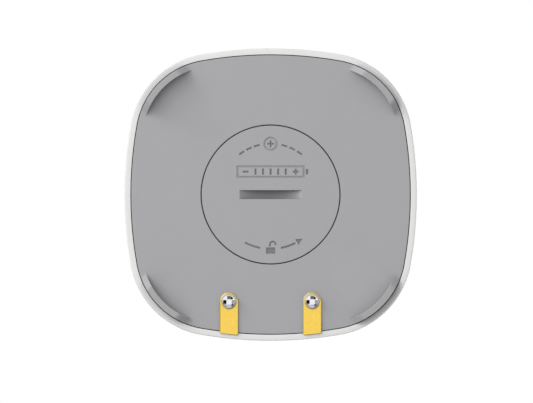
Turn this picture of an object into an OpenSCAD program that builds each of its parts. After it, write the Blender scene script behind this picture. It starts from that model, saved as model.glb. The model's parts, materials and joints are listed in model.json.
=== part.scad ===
// Water leak sensor for the floor: a pillow-shaped white housing closed by a grey base,
// with two gold probe contacts and a coin-turned battery door underneath.
// The object stands on its four corner feet, +Z up, the origin on the floor under its centre.
// The probe contacts are at the front edge, towards -Y.

/* [Housing] */
// Width across the widest line, the same in X and Y
body_w = 62; // [58:0.5:72]
// Plan radius of each bowed side
side_r = 85.5; // [76:0.5:130]
// Plan radius of each corner
corner_r = 18.2; // [16:0.1:21]
// Corner radius of the flat area in the middle of the top
flat_corner_r = 1; // [0.5:0.1:3]
// Height of the widest line above the floor
belt_z = 7.5; // [6.5:0.25:8.5]
// How far the crown of the top rises above the shoulders
crown_rise = 1.5; // [1:0.1:3]
// How far the lower edge tucks in under the widest line
lower_tuck = 0.45; // [0.3:0.05:0.8]
// Width of the flat rim round the base
rim_flat = 0.9; // [0.7:0.05:1.2]
// Wall thickness of the housing
wall = 1.8; // [1.4:0.1:2.4]
// Width of the inner shelf that the base closes against
shelf_w = 1.55; // [1.2:0.05:2]
// Thickness of that shelf
shelf_t = 1.2; // [0.8:0.1:1.6]
// Free height between the circuit board and the ceiling
head_room = 2.9; // [2.6:0.1:5]
// Radius of a screw boss under the ceiling
boss_r = 2.6; // [2:0.1:3.2]

/* [Base] */
// Thickness of the base plate
base_t = 1.6; // [1.3:0.1:2.2]
// Gap between the base and the rim
base_gap = 0.15; // [0.1:0.05:0.3]
// Width of the ridge that makes each corner foot
foot_w = 1.3; // [1:0.1:2]
// Length of a foot's flat sole
foot_sole = 8.8; // [7:0.2:10]
// Length of the ramp at each end of a foot
foot_ramp = 2.6; // [2:0.2:4]
// Clearance under the probe screw heads when the feet stand on the floor
floor_gap = 1; // [0.5:0.1:1.5]
// Thickness of the seal between the base and the housing
seal_t = 0.6; // [0.4:0.1:1]
// Width of a snap hook
hook_w = 4; // [3:0.5:6]
// Thickness of a snap hook's arm
hook_t = 1; // [0.8:0.1:1.4]
// Height of a snap hook's barb
barb_h = 0.9; // [0.6:0.1:1.2]
// Height of the ribs inside the base
rib_h = 1.5; // [1:0.1:2.5]
// Thickness of those ribs
rib_t = 1; // [0.8:0.1:1.4]
// Chamfer along the edges that show round the door and the button
edge = 0.1; // [0.05:0.05:0.25]

/* [Battery] */
// Diameter of the coin cell
cell_d = 24.5; // [20:0.5:25]
// Height of the coin cell
cell_h = 5; // [3.2:0.1:6]
// Clearance between the cell and the door's skirt
cell_gap = 0.2; // [0.1:0.05:0.4]
// Wall of the door's skirt
skirt_t = 0.9; // [0.7:0.1:1.2]
// Reach of a bayonet lug beyond the skirt
lug_reach = 0.95; // [0.7:0.05:1.3]
// Thickness of a bayonet lug
lug_t = 1; // [0.8:0.1:1.5]
// Angle that a bayonet lug covers
lug_angle = 26; // [18:1:30]
// Angle that the door turns to open
turn_angle = 45; // [40:1:48]
// Overlap of the door's flange beyond the lugs
flange_lap = 0.3; // [0.2:0.05:0.5]
// Thickness of the door's flange
flange_t = 1.8; // [1.6:0.1:2.4]
// Gap round the door
door_gap = 0.2; // [0.15:0.05:0.3]
// Section of the door's seal ring
door_seal_d = 1; // [0.8:0.05:1.1]
// Length of the coin slot
slot_len = 13.2; // [10:0.2:16]
// Width of the coin slot
slot_w = 1.9; // [1.5:0.1:2.5]
// Depth of the coin slot in its middle
slot_depth = 2.2; // [1.5:0.1:2.6]
// Floor left under the coin slot
slot_floor = 0.8; // [0.7:0.1:1.2]
// Thickness of the ledge that holds the lugs
ledge_t = 1; // [0.8:0.1:1.6]
// Wall of the battery well
well_wall = 1.5; // [1:0.1:2]
// Height of the well above the lugs
well_guide = 1.8; // [0.5:0.1:2.5]
// Sheet thickness of the cell's can
can_t = 0.3; // [0.2:0.05:0.4]
// Thickness of the cell's grommet
grommet_t = 0.35; // [0.25:0.05:0.5]
// How far the cell's cap stands above its crimped can
crimp_h = 0.5; // [0.3:0.05:0.7]

/* [Probes] */
// Distance between the two probe screws
probe_spacing = 17.6; // [14:0.2:22]
// Distance of the probe screws from the base's front edge
probe_inset = 6.8; // [5.5:0.1:8]
// Width of a contact strip
contact_w = 3.9; // [3.4:0.1:5]
// Thickness of a contact strip
contact_t = 0.4; // [0.3:0.05:0.5]
// How far a contact strip reaches over the rim
contact_lap = 0.4; // [0.2:0.05:0.5]
// Corner radius at the end of a contact strip
contact_corner_r = 0.4; // [0.2:0.05:0.8]
// Head diameter of a probe screw
screw_head_d = 3.2; // [2.8:0.1:3.6]
// Head height of a probe screw
screw_head_h = 1; // [0.8:0.1:1.4]
// Height of the domed part of that head
screw_dome_h = 0.4; // [0.3:0.05:0.7]
// Thread diameter of a probe screw
screw_d = 2; // [1.6:0.1:2.2]
// Length of a probe screw under its head
screw_len = 6; // [5:0.25:7]
// Span of the cross recess in a probe screw
recess_len = 2.3; // [1.8:0.1:2.6]
// Width of that recess
recess_w = 0.65; // [0.45:0.05:0.8]
// Depth of that recess
recess_depth = 0.6; // [0.4:0.05:0.8]
// Diameter of the brass post that a probe screw threads into
post_d = 4; // [3.4:0.1:4.6]
// Diameter of the post's pin in the circuit board
post_pin_d = 2; // [1.6:0.1:2.4]
// Height of the post's pin above the circuit board
post_pin_h = 0.5; // [0.3:0.1:1]
// Height of the boss round a probe screw inside the base
probe_boss_h = 1; // [0.8:0.1:1.4]
// Wall of that boss round the post's seal
probe_boss_wall = 1; // [0.8:0.1:1.4]
// Thickness of the seal ring under a post
ring_t = 0.6; // [0.4:0.1:0.8]

/* [Circuit board] */
// Height of the springs between the cell and the circuit board
spring_h = 1.2; // [0.9:0.1:2]
// Thickness of the sheet metal springs
spring_t = 0.3; // [0.2:0.05:0.4]
// Width of the sheet metal springs
spring_w = 4; // [3:0.5:6]
// Thickness of the circuit board
board_t = 1; // [0.8:0.1:1.6]
// Inset of the circuit board from the widest line
board_in = 5; // [4.5:0.1:6]
// Inset of the board screws from the widest line
boss_in = 11; // [10:0.5:12]
// Place along Y of the two board screws at the sides
boss_side_y = -2; // [-4:0.5:0]
// Thread diameter of a board screw
board_screw_d = 1.8; // [1.4:0.1:2.2]
// Head diameter of a board screw
board_head_d = 3.4; // [3:0.1:4]
// Head height of a board screw
board_head_h = 1; // [0.8:0.1:1.2]
// Length of a board screw's thread in its boss
board_screw_bite = 2.2; // [1.5:0.1:2.4]
// Length, width and thickness of the radio module's board
radio_size = [14, 11, 0.8]; // [0.4:0.1:16]
// Length, width and height of the radio module's shield
shield_size = [11, 9, 1.2]; // [0.8:0.1:12]
// Sheet thickness of the shield
shield_t = 0.2; // [0.1:0.05:0.3]
// Centre of the radio module
radio_at = [-11, 10]; // [-14:0.5:14]
// Length, width and height of the chip antenna
antenna_size = [7, 2, 1]; // [0.5:0.1:9]
// Place of the chip antenna along X
antenna_x = -11.5; // [-13:0.5:-9]
// Distance of the chip antenna from the board's back edge
antenna_edge = 4; // [3:0.5:6]
// Length, width and height of the crystal
crystal_size = [3.2, 2.5, 0.8]; // [0.5:0.1:5]
// Centre of the crystal
crystal_at = [11, 9]; // [-14:0.5:14]
// Length, width and height of the buffer capacitor
capacitor_size = [3.5, 2.8, 1.9]; // [0.8:0.1:5]
// Centre of the buffer capacitor
capacitor_at = [12, -8]; // [-14:0.5:14]

/* [Button] */
// Diameter of the function button on top
button_d = 9; // [7:0.5:10]
// Gap round the button
button_gap = 0.15; // [0.1:0.05:0.3]
// Travel of the button
button_travel = 0.5; // [0.3:0.05:0.5]
// Depth of the dish in the button's face
dish_depth = 0.25; // [0.1:0.05:0.4]
// Reach of the flange that keeps the button under the ceiling
button_flange = 1; // [0.7:0.1:1.3]
// Thickness of that flange
button_flange_t = 0.7; // [0.5:0.1:0.9]
// Length of the button's stem above the switch
button_stem = 0.2; // [0.1:0.05:0.3]
// Section of the button's seal ring
button_seal_d = 0.7; // [0.5:0.05:0.8]
// Length, width and height of the switch under the button
switch_size = [4.8, 4.8, 1.3]; // [1:0.1:6]
// Diameter of the switch's plunger
plunger_d = 2.4; // [1.8:0.1:3]
// Thickness of the switch's floor under the plunger
plunger_floor = 0.4; // [0.3:0.05:0.5]
// Diameter of the light pipe
pipe_d = 2; // [1.5:0.1:3]
// Distance of the light pipe from the button's centre
pipe_back = 11; // [8.5:0.25:11.5]
// Reach of the light pipe's collar
pipe_collar = 0.8; // [0.5:0.1:1.2]
// Thickness of that collar
pipe_collar_t = 0.7; // [0.5:0.1:1]
// Length, width and height of the status light
led_size = [1.6, 0.8, 0.7]; // [0.5:0.1:2]

/* [Hidden] */
$fn = 96;
small_fn = 48;

// Clearances shared by the parts
turn_gap = 0.1;      // between the door's sliding faces and their seats, and under a hook's barb
lug_gap = 0.2;       // round the tips of the lugs
rest_gap = 0.1;      // under the cell, and between the light and its pipe
seat_gap = 0.05;     // round a ring, a pin or a pipe in its seat
thread_gap = 0.02;   // between a screw and its thread, and between the clip and the cell
hole_gap = 0.15;     // between a screw or the door's skirt and a plain hole
hook_gap = 0.2;      // round a snap hook, and between the button's flange and the ceiling
join = 0.3;          // how far joined shapes run into each other
past = 1;            // how far a cutter runs past what it cuts

// Plan outline: four bowed sides and four corner arcs, tangent where they meet
half_w = body_w / 2;
side_back = side_r - half_w;
arc_gap = side_r - corner_r;
corner_c = (sqrt(2 * arc_gap * arc_gap - side_back * side_back) - side_back) / 2;
corner_reach = corner_c * sqrt(2) + corner_r;
side_angle = atan2(corner_c, corner_c + side_back);
side_steps = 8;
corner_steps = 16;
crown_steps = 5;
shoulder_steps = 8;
lower_steps = 5;
bend_steps = 6;
end_steps = 32;

// Heights, from the floor up
plate_z = contact_t + screw_head_h + floor_gap;
base_top = plate_z + base_t;
shelf_z = base_top + seal_t;
shelf_top = shelf_z + shelf_t;
flange_top = plate_z + flange_t;
ledge_z = flange_top + turn_gap;
ledge_top = ledge_z + ledge_t;
lug_z = ledge_top + turn_gap;
lug_top = lug_z + lug_t;
well_top = lug_top + well_guide;
door_floor = plate_z + slot_depth + slot_floor;
cell_z = door_floor + rest_gap;
cell_top = cell_z + cell_h;
board_z = cell_top + spring_h;
board_top = board_z + board_t;
ceiling_z = board_top + head_room;
body_h = ceiling_z + wall;

// Insets from the widest line
rim_in = lower_tuck + rim_flat;
base_in = rim_in + base_gap;
shelf_in = rim_in + shelf_w;
hook_in = shelf_in + hook_gap;
crown_run = corner_r - flat_corner_r;

// Side profile of the housing: a tucked-in lower side, a round shoulder and a shallow crown
lower_rise = belt_z - plate_z;
lower_r = (lower_rise * lower_rise + lower_tuck * lower_tuck) / (2 * lower_tuck);
lower_angle = asin(lower_rise / lower_r);
shoulder_r = body_h - belt_z - crown_rise;
shoulder_to_crown = crown_run - shoulder_r;
crown_r = (pow(crown_rise + shoulder_r, 2) + pow(shoulder_to_crown, 2) - pow(shoulder_r, 2))
    / (2 * crown_rise);
crown_angle = asin(shoulder_to_crown / (crown_r - shoulder_r));

// Battery door and well
cell_r = cell_d / 2;
skirt_ri = cell_r + cell_gap;
skirt_ro = skirt_ri + skirt_t;
lug_r = skirt_ro + lug_reach;
door_r = lug_r + flange_lap;
opening_r = door_r + door_gap;
bore_r = skirt_ro + hole_gap;
groove_r = lug_r + lug_gap;
well_r = opening_r + well_wall;
lug_count = 3;
lug_step = 360 / lug_count;
notch_spare = 2;     // degrees of room on each side of a lug in its entry notch
notch_angle = lug_angle + 2 * notch_spare;
stop_gap = 1.5;      // degrees between a lug and its stop
door_seal_r = opening_r - seat_gap - door_seal_d / 2;
door_seal_z = plate_z + flange_t / 2;
slot_r = (slot_len * slot_len / 4 + slot_depth * slot_depth) / (2 * slot_depth);

// Coin cell, from the outside in
can_ri = cell_r - can_t;
grommet_r = can_ri - grommet_t;
cap_r = grommet_r - grommet_t;

// Probes
probe_x = probe_spacing / 2;
probe_y = -(half_w - base_in - probe_inset);
screw_r = screw_d / 2;
screw_tip = floor_gap + screw_head_h + screw_len;
boss_top = base_top + probe_boss_h;
post_r = post_d / 2;
post_pin_r = post_pin_d / 2;

// Button and light
button_r = button_d / 2;
button_hole_r = button_r + button_gap;
button_flange_r = button_hole_r + button_flange;
button_flange_top = ceiling_z - hook_gap;
button_flange_z = button_flange_top - button_flange_t;
button_foot = button_flange_z - button_stem;
button_seal_r = button_hole_r - seat_gap - button_seal_d / 2;
button_seal_z = ceiling_z + wall / 2;
dish_r = (pow(button_r - edge, 2) + dish_depth * dish_depth) / (2 * dish_depth);
plunger_r = plunger_d / 2;
pipe_r = pipe_d / 2;
pipe_y = -pipe_back;

// Places of the board screws
boss_places = [[boss_in - half_w, boss_side_y], [half_w - boss_in, boss_side_y], [0, half_w - boss_in]];
board_screw_r = board_screw_d / 2;

// Place of the chip antenna, measured from the back edge of the board
antenna_at = [antenna_x, half_w - board_in - antenna_edge - antenna_size[1] / 2];

// Colours
white_plastic = "#f1f1ef";
grey_plastic = "#a6a6a8";
gold_plate = "#e9bd4f";
bright_steel = "#d8d9dc";
brass = "#c9a24a";
silicone = "#55585c";
black_plastic = "#2a2a2c";
board_green = "#1f6b3c";

// Points along an arc, without its last one
function arc(centre, r, from, to, steps) =
    [for (i = [0:steps - 1]) let (a = from + (to - from) * i / steps) centre + r * [cos(a), sin(a)]];
function turned(points, a) =
    [for (p = points) [p[0] * cos(a) - p[1] * sin(a), p[0] * sin(a) + p[1] * cos(a)]];
function reversed(list) = [for (i = [len(list) - 1:-1:0]) list[i]];

// Points of the plan outline, inset by d from the widest line, anticlockwise
function quarter(d) = concat(
    arc([-side_back, 0], side_r - d, -side_angle, side_angle, side_steps),
    arc([corner_c, corner_c], corner_r - d, side_angle, 90 - side_angle, corner_steps));
function outline(d) = [for (k = [0:3]) each turned(quarter(d), 90 * k)];

// Distance of a bowed side from the centre, inset by d, at a distance x along that side
function side_at(d, x) = sqrt(pow(side_r - d, 2) - x * x) - side_back;

// Points [inset, height] on the housing's side profile, inside its surface by t
function crown_points(t, steps) = [for (i = [0:steps]) let (a = crown_angle * i / steps)
    [crown_run - (crown_r - t) * sin(a), body_h - crown_r + (crown_r - t) * cos(a)]];
function shoulder_points(t, steps) = [for (i = [1:steps])
    let (a = crown_angle + (90 - crown_angle) * i / steps)
    [shoulder_r - (shoulder_r - t) * sin(a), belt_z + (shoulder_r - t) * cos(a)]];
function lower_points(steps) = [for (i = [1:steps]) let (a = lower_angle * i / steps)
    [lower_r - lower_r * cos(a), belt_z - lower_r * sin(a)]];

// Points round the corner at b, between its neighbours a and c, with radius r
function unit(v) = v / norm(v);
function rounded(a, b, c, r, steps) = let (
    u = unit(a - b),
    v = unit(c - b),
    half = acos(u * v) / 2,
    centre = b + unit(u + v) * r / sin(half),
    first = b + u * r / tan(half) - centre,
    from = atan2(first[1], first[0]),
    sweep = (180 - 2 * half) * sign(v[0] * u[1] - v[1] * u[0]))
    [for (i = [0:steps]) let (g = from + sweep * i / steps) centre + r * [cos(g), sin(g)]];

// Closed outline of a bent strip: a path and its copy at distance t to the left
function left_of(a, b) = unit([a[1] - b[1], b[0] - a[0]]);
function mitre(path, i, t) = let (
    last = len(path) - 1,
    n1 = i == 0 ? left_of(path[0], path[1]) : left_of(path[i - 1], path[i]),
    n2 = i == last ? n1 : left_of(path[i], path[i + 1]))
    path[i] + t * (n1 + n2) / (1 + n1 * n2);
function ribbon(path, t) = concat(path, [for (i = [len(path) - 1:-1:0]) mitre(path, i, t)]);

// Closed solid through outlines that follow a profile of [inset, height] points,
// from the flat face inside its first point to the flat face inside its last one
module outline_loft(profile) {
    rings = [for (p = profile) [for (q = outline(p[0])) [q[0], q[1], p[1]]]];
    n = len(rings[0]);
    last = len(rings) - 1;
    polyhedron(
        points = [for (ring = rings) each ring],
        faces = concat(
            [[for (i = [n - 1:-1:0]) i]],
            [for (j = [0:last - 1]) for (i = [0:n - 1])
                [j * n + i, j * n + (i + 1) % n, (j + 1) * n + (i + 1) % n, (j + 1) * n + i]],
            [[for (i = [0:n - 1]) last * n + i]]));
}

module outline_plate(inset, z, t) {
    translate([0, 0, z]) linear_extrude(t) polygon(outline(inset));
}

module outline_ring(outer_in, inner_in, z, t) {
    translate([0, 0, z]) linear_extrude(t) difference() {
        polygon(outline(outer_in));
        polygon(outline(inner_in));
    }
}

module lathe(profile) {
    rotate_extrude() polygon(profile);
}

// Part of a flat ring, from angle a over angle w
module ring_sector(r1, r2, z, t, a, w) {
    rotate([0, 0, a]) rotate_extrude(angle = w) translate([r1, z]) square([r2 - r1, t]);
}

module ring_round(r, section, z) {
    rotate_extrude() translate([r, z]) circle(section / 2, $fn = small_fn);
}

module tube(r1, r2, z, t) {
    lathe([[r1, z], [r2, z], [r2, z + t], [r1, z + t]]);
}

module rod(r, z1, z2) {
    translate([0, 0, z1]) cylinder(r = r, h = z2 - z1, $fn = small_fn);
}

module block(size, centre, z) {
    translate([centre[0] - size[0] / 2, centre[1] - size[1] / 2, z]) cube(size);
}

// Extrudes an outline of [y, z] points over a width w, centred on X = 0
module across_x(points, w) {
    translate([-w / 2, 0, 0]) rotate([90, 0, 90]) linear_extrude(w) polygon(points);
}

// Places a child on a bowed side: side 0 faces +X, at an angle about that side's centre,
// with the child's Y axis pointing out of the widest line
module on_side(side, angle) {
    rotate([0, 0, 90 * side]) translate([-side_back, 0, 0]) rotate([0, 0, angle])
        translate([side_r, 0, 0]) rotate([0, 0, -90]) children();
}

module at_bosses() {
    for (p = boss_places) translate([p[0], p[1], 0]) children();
}

module at_probe(side) {
    translate([side * probe_x, probe_y, 0]) children();
}

module at_probes() {
    for (side = [-1, 1]) at_probe(side) children();
}

module cross_recess(len, w, z, depth) {
    for (a = [0, 90]) rotate([0, 0, a]) translate([-len / 2, -w / 2, z - past]) cube([len, w, depth + past]);
}

// Housing
module shell_skin() {
    outline_loft(concat(
        crown_points(0, crown_steps),
        shoulder_points(0, shoulder_steps),
        lower_points(lower_steps),
        [[rim_in, plate_z], [rim_in, shelf_z], [shelf_in, shelf_z], [shelf_in, shelf_top],
            [wall, shelf_top]],
        reversed(shoulder_points(wall, shoulder_steps)),
        reversed(crown_points(wall, crown_steps))));
}

module top_shell() color(white_plastic) difference() {
    union() {
        shell_skin();
        at_bosses() rod(boss_r, board_top, ceiling_z);
    }
    lathe([[0, ceiling_z - past], [button_hole_r, ceiling_z - past], [button_hole_r, body_h - edge],
        [button_hole_r + edge, body_h], [button_hole_r + edge, body_h + past], [0, body_h + past]]);
    translate([0, pipe_y, 0]) rod(pipe_r + seat_gap, ceiling_z - past, body_h + past);
    at_bosses() rod(board_screw_r + thread_gap, board_top - past, board_top + board_screw_bite + seat_gap);
}

module function_button() color(white_plastic) {
    groove_ri = button_seal_r - button_seal_d / 2 - seat_gap;
    groove_h = button_seal_d / 2 + seat_gap;
    difference() {
        lathe([[0, button_foot], [plunger_r, button_foot], [plunger_r, button_flange_z],
            [button_flange_r, button_flange_z], [button_flange_r, button_flange_top],
            [button_r, button_flange_top], [button_r, button_seal_z - groove_h],
            [groove_ri, button_seal_z - groove_h], [groove_ri, button_seal_z + groove_h],
            [button_r, button_seal_z + groove_h], [button_r, body_h - edge],
            [button_r - edge, body_h], [0, body_h]]);
        translate([0, 0, body_h - dish_depth + dish_r]) sphere(dish_r);
    }
}

module button_seal() color(silicone) ring_round(button_seal_r, button_seal_d, button_seal_z);

module light_pipe() color("whitesmoke", 0.6) translate([0, pipe_y, 0]) {
    rod(pipe_r, board_top + led_size[2] + rest_gap, body_h);
    rod(pipe_r + pipe_collar, ceiling_z - pipe_collar_t, ceiling_z);
}

// Base
module foot() {
    half_sole = foot_sole / 2;
    half_foot = half_sole + foot_ramp;
    root_z = plate_z + join;
    intersection() {
        outline_ring(base_in, base_in + foot_w, 0, root_z);
        rotate([0, 0, 45]) translate([corner_reach / 2, 0, 0]) rotate([90, 0, 90])
            linear_extrude(corner_reach / 2) polygon([[-half_sole, 0], [half_sole, 0], [half_foot, plate_z],
                [half_foot, root_z], [-half_foot, root_z], [-half_foot, plate_z]]);
    }
}

module snap_hook() {
    barb_z = shelf_top + turn_gap;
    barb_in = wall + hook_gap;
    across_x([[-hook_in - hook_t, base_top - join], [-hook_in, base_top - join], [-hook_in, barb_z],
        [-barb_in, barb_z], [-barb_in, barb_z + barb_h / 3], [-hook_in, barb_z + barb_h],
        [-hook_in - hook_t, barb_z + barb_h]], hook_w);
}

module base_rib() {
    rotate([0, 0, 45]) translate([well_r - join, -rib_t / 2, base_top - join])
        cube([corner_reach - hook_in - hook_t - well_r + join, rib_t, rib_h + join]);
}

// Inside of the battery well: the door's opening, the ledge and the groove of the lugs
module well_room() {
    lathe([[0, plate_z - past], [opening_r + edge, plate_z - past], [opening_r + edge, plate_z],
        [opening_r, plate_z + edge], [opening_r, ledge_z], [bore_r, ledge_z], [bore_r, ledge_top],
        [groove_r, ledge_top], [groove_r, well_top + past], [0, well_top + past]]);
}

// Notches in the ledge that let the lugs in
module lug_notches() {
    for (k = [0:lug_count - 1])
        ring_sector(bore_r - past, lug_r + turn_gap, ledge_z - join, ledge_t + 2 * join,
            lug_step * k - turn_angle - notch_angle / 2, notch_angle);
}

// Walls that a lug meets at the ends of its turn
module lug_stops() {
    stop_angle = lug_step - turn_angle - lug_angle - 2 * stop_gap;
    for (k = [0:lug_count - 1])
        ring_sector(bore_r + turn_gap, groove_r + join, ledge_top - join, lug_top - ledge_top + join,
            lug_step * k + lug_angle / 2 + stop_gap, stop_angle);
}

module base_cover() color(grey_plastic) difference() {
    union() {
        difference() {
            union() {
                outline_plate(base_in, plate_z, base_t);
                translate([0, 0, plate_z]) cylinder(r = well_r, h = well_top - plate_z);
                at_probes() rod(post_r + probe_boss_wall, plate_z, boss_top);
                for (k = [0:3]) rotate([0, 0, 90 * k]) {
                    foot();
                    base_rib();
                }
                for (side = [0:2]) for (a = [-1, 1]) on_side(side, a * side_angle / 2) snap_hook();
            }
            well_room();
            lug_notches();
        }
        lug_stops();
    }
    at_probes() {
        rod(screw_r + hole_gap, plate_z - past, boss_top + past);
        rod(post_r, boss_top - ring_t, boss_top + past);
    }
}

module housing_seal() color(silicone) outline_ring(base_in, shelf_in - seat_gap, base_top, seal_t);

// Battery door: a flange with a seal groove, a skirt round the cell, lugs and a coin slot
module battery_door() color(grey_plastic) {
    groove_ri = door_seal_r - door_seal_d / 2 - seat_gap;
    groove_h = door_seal_d / 2 + seat_gap;
    difference() {
        union() {
            lathe([[0, plate_z], [door_r - edge, plate_z], [door_r, plate_z + edge],
                [door_r, door_seal_z - groove_h], [groove_ri, door_seal_z - groove_h],
                [groove_ri, door_seal_z + groove_h], [door_r, door_seal_z + groove_h],
                [door_r, flange_top], [skirt_ro, flange_top], [skirt_ro, lug_top],
                [skirt_ri, lug_top], [skirt_ri, door_floor], [0, door_floor]]);
            for (k = [0:lug_count - 1])
                ring_sector(skirt_ro - join, lug_r, lug_z, lug_t, lug_step * k - lug_angle / 2, lug_angle);
        }
        translate([0, slot_w / 2, plate_z + slot_depth - slot_r]) rotate([90, 0, 0])
            cylinder(r = slot_r, h = slot_w);
    }
}

module door_seal() color(silicone) ring_round(door_seal_r, door_seal_d, door_seal_z);

// Coin cell: a steel can crimped over a grommet that holds the negative cap
module coin_cell_can() color(bright_steel) {
    crimp_z = cell_top - crimp_h;
    lathe([[0, cell_z], [can_ri, cell_z], [cell_r, cell_z + can_t], [cell_r, crimp_z - can_t],
        [can_ri, crimp_z], [grommet_r, crimp_z], [grommet_r, crimp_z - can_t],
        [can_ri, crimp_z - can_t], [can_ri, cell_z + can_t], [0, cell_z + can_t]]);
}

module coin_cell_grommet() color(black_plastic)
    tube(cap_r, grommet_r, cell_z + can_t, cell_top - crimp_h / 2 - cell_z - can_t);

module coin_cell_cap() color(bright_steel) translate([0, 0, cell_z + can_t])
    cylinder(r = cap_r, h = cell_h - can_t);

// Sheet metal springs between the cell and the board
module negative_spring() color(brass) {
    foot_from = -6;
    foot_to = -1.5;
    touch_from = 3;
    touch_to = 5;
    tip = touch_to + spring_h - spring_t;
    across_x(ribbon([[foot_from, board_z], [foot_to, board_z], [touch_from, cell_top + spring_t],
        [touch_to, cell_top + spring_t], [tip, cell_top + (spring_h + spring_t) / 2]], -spring_t), spring_w);
}

module positive_clip() color(brass) {
    foot_len = 3;
    bow = 0.8;
    bow_drop = 0.9;
    touch = cell_r + thread_gap;
    back = touch + bow;
    bow_z = cell_top - bow_drop;
    across_x(ribbon([[back + foot_len, board_z], [back, board_z], [touch, bow_z], [back, bow_z - bow_drop]],
        spring_t), spring_w);
}

// Probes: strip, screw, brass post and seal ring
module contact_outline() {
    end_in = rim_in - contact_lap;
    near_x = probe_x - contact_w / 2;
    far_x = probe_x + contact_w / 2;
    near = [near_x, -side_at(end_in, near_x)];
    far = [far_x, -side_at(end_in, far_x)];
    near_top = [near_x, probe_y];
    far_top = [far_x, probe_y];
    polygon(concat([near_top], rounded(near_top, near, far, contact_corner_r, bend_steps),
        rounded(near, far, far_top, contact_corner_r, bend_steps),
        arc([probe_x, probe_y], contact_w / 2, 0, 180, end_steps)));
}

module probe_contact(side) color(gold_plate) difference() {
    translate([0, 0, plate_z - contact_t]) linear_extrude(contact_t)
        mirror([side < 0 ? 1 : 0, 0]) contact_outline();
    at_probe(side) rod(screw_r + hole_gap, floor_gap, plate_z + past);
}

module probe_screw(side) color(bright_steel) at_probe(side) {
    head_r = screw_head_d / 2;
    head_top = floor_gap + screw_head_h;
    dome_r = (head_r * head_r + screw_dome_h * screw_dome_h) / (2 * screw_dome_h);
    difference() {
        union() {
            intersection() {
                rod(head_r, floor_gap, head_top);
                translate([0, 0, floor_gap + dome_r]) sphere(dome_r);
            }
            rod(screw_r, head_top - join, screw_tip);
        }
        cross_recess(recess_len, recess_w, floor_gap, recess_depth);
    }
}

module probe_post(side) color(brass) at_probe(side) difference() {
    union() {
        rod(post_r, boss_top, board_z);
        rod(post_pin_r, board_z - join, board_top + post_pin_h);
    }
    rod(screw_r + thread_gap, boss_top - past, screw_tip + join);
}

module probe_seals() color(silicone) at_probes()
    tube(screw_r + seat_gap, post_r - seat_gap, boss_top - ring_t, ring_t);

// Circuit board and what it carries
module main_board() color(board_green) difference() {
    outline_plate(board_in, board_z, board_t);
    at_bosses() rod(board_screw_r + hole_gap, board_z - past, board_top + past);
    at_probes() rod(post_pin_r + seat_gap, board_z - past, board_top + past);
}

module board_screws() color(bright_steel) at_bosses() {
    head_z = board_z - board_head_h;
    difference() {
        rod(board_head_d / 2, head_z, board_z);
        cross_recess(board_screw_d, recess_w, head_z, recess_depth);
    }
    rod(board_screw_r, board_z - join, board_top + board_screw_bite);
}

module radio_board() color("#17452c") block(radio_size, radio_at, board_top);

module radio_shield() color(bright_steel) {
    shield_z = board_top + radio_size[2];
    room = shield_size - [2 * shield_t, 2 * shield_t, shield_t - past];
    difference() {
        block(shield_size, radio_at, shield_z);
        block(room, radio_at, shield_z - past);
    }
}

module chip_antenna() color("ivory") block(antenna_size, antenna_at, board_top);

module switch_body() color(black_plastic) difference() {
    block(switch_size, [0, 0], board_top);
    rod(plunger_r + seat_gap, board_top + plunger_floor, board_top + switch_size[2] + past);
}

module switch_plunger() color("#3a3a3c")
    rod(plunger_r, board_top + plunger_floor + button_travel + seat_gap, button_foot);

module status_led() color("#f4f0d8") block(led_size, [0, pipe_y], board_top);

module timing_crystal() color(bright_steel) block(crystal_size, crystal_at, board_top);

module buffer_capacitor() color("#c98a2b") block(capacitor_size, capacitor_at, board_top);

top_shell();
function_button();
button_seal();
light_pipe();
base_cover();
housing_seal();
battery_door();
door_seal();
coin_cell_can();
coin_cell_grommet();
coin_cell_cap();
negative_spring();
positive_clip();
probe_contact(-1);  // probe_contact_left
probe_contact(1);  // probe_contact_right
probe_screw(-1);  // probe_screw_left
probe_screw(1);  // probe_screw_right
probe_post(-1);  // probe_post_left
probe_post(1);  // probe_post_right
probe_seals();
main_board();
board_screws();
radio_board();
radio_shield();
chip_antenna();
switch_body();
switch_plunger();
status_led();
timing_crystal();
buffer_capacitor();
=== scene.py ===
import json
import math

import bmesh
import bpy
from mathutils import Matrix, Vector


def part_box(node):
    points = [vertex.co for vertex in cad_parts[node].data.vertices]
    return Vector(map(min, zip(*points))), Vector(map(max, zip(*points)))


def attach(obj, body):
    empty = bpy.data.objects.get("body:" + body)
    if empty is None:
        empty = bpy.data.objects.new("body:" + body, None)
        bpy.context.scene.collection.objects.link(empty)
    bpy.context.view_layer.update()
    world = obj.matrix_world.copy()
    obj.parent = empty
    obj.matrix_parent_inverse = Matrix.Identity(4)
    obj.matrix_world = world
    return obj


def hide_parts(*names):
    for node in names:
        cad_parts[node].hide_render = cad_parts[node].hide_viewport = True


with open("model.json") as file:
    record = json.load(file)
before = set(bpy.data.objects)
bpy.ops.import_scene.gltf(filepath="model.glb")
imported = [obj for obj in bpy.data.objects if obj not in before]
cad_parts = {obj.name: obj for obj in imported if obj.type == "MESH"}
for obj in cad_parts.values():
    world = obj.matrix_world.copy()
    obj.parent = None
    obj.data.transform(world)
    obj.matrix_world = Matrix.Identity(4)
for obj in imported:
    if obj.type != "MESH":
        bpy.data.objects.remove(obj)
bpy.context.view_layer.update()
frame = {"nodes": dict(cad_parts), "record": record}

MM = 0.001


def box_mm(node):
    """Lowest and highest corner of a CAD node, in millimetres."""
    low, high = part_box(node)
    return low / MM, high / MM


# Sizes in millimetres. What the frame gives comes from the boxes of its nodes
shell_low, shell_high = box_mm("top_shell")
base_high = box_mm("base_cover")[1]
door_high = box_mm("battery_door")[1]
contact_low, contact_high = box_mm("probe_contact_right")
screw_low, screw_high = box_mm("probe_screw_right")
button_low, button_high = box_mm("function_button")
pipe_low, pipe_high = box_mm("light_pipe")
board_high = box_mm("main_board")[1]

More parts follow.
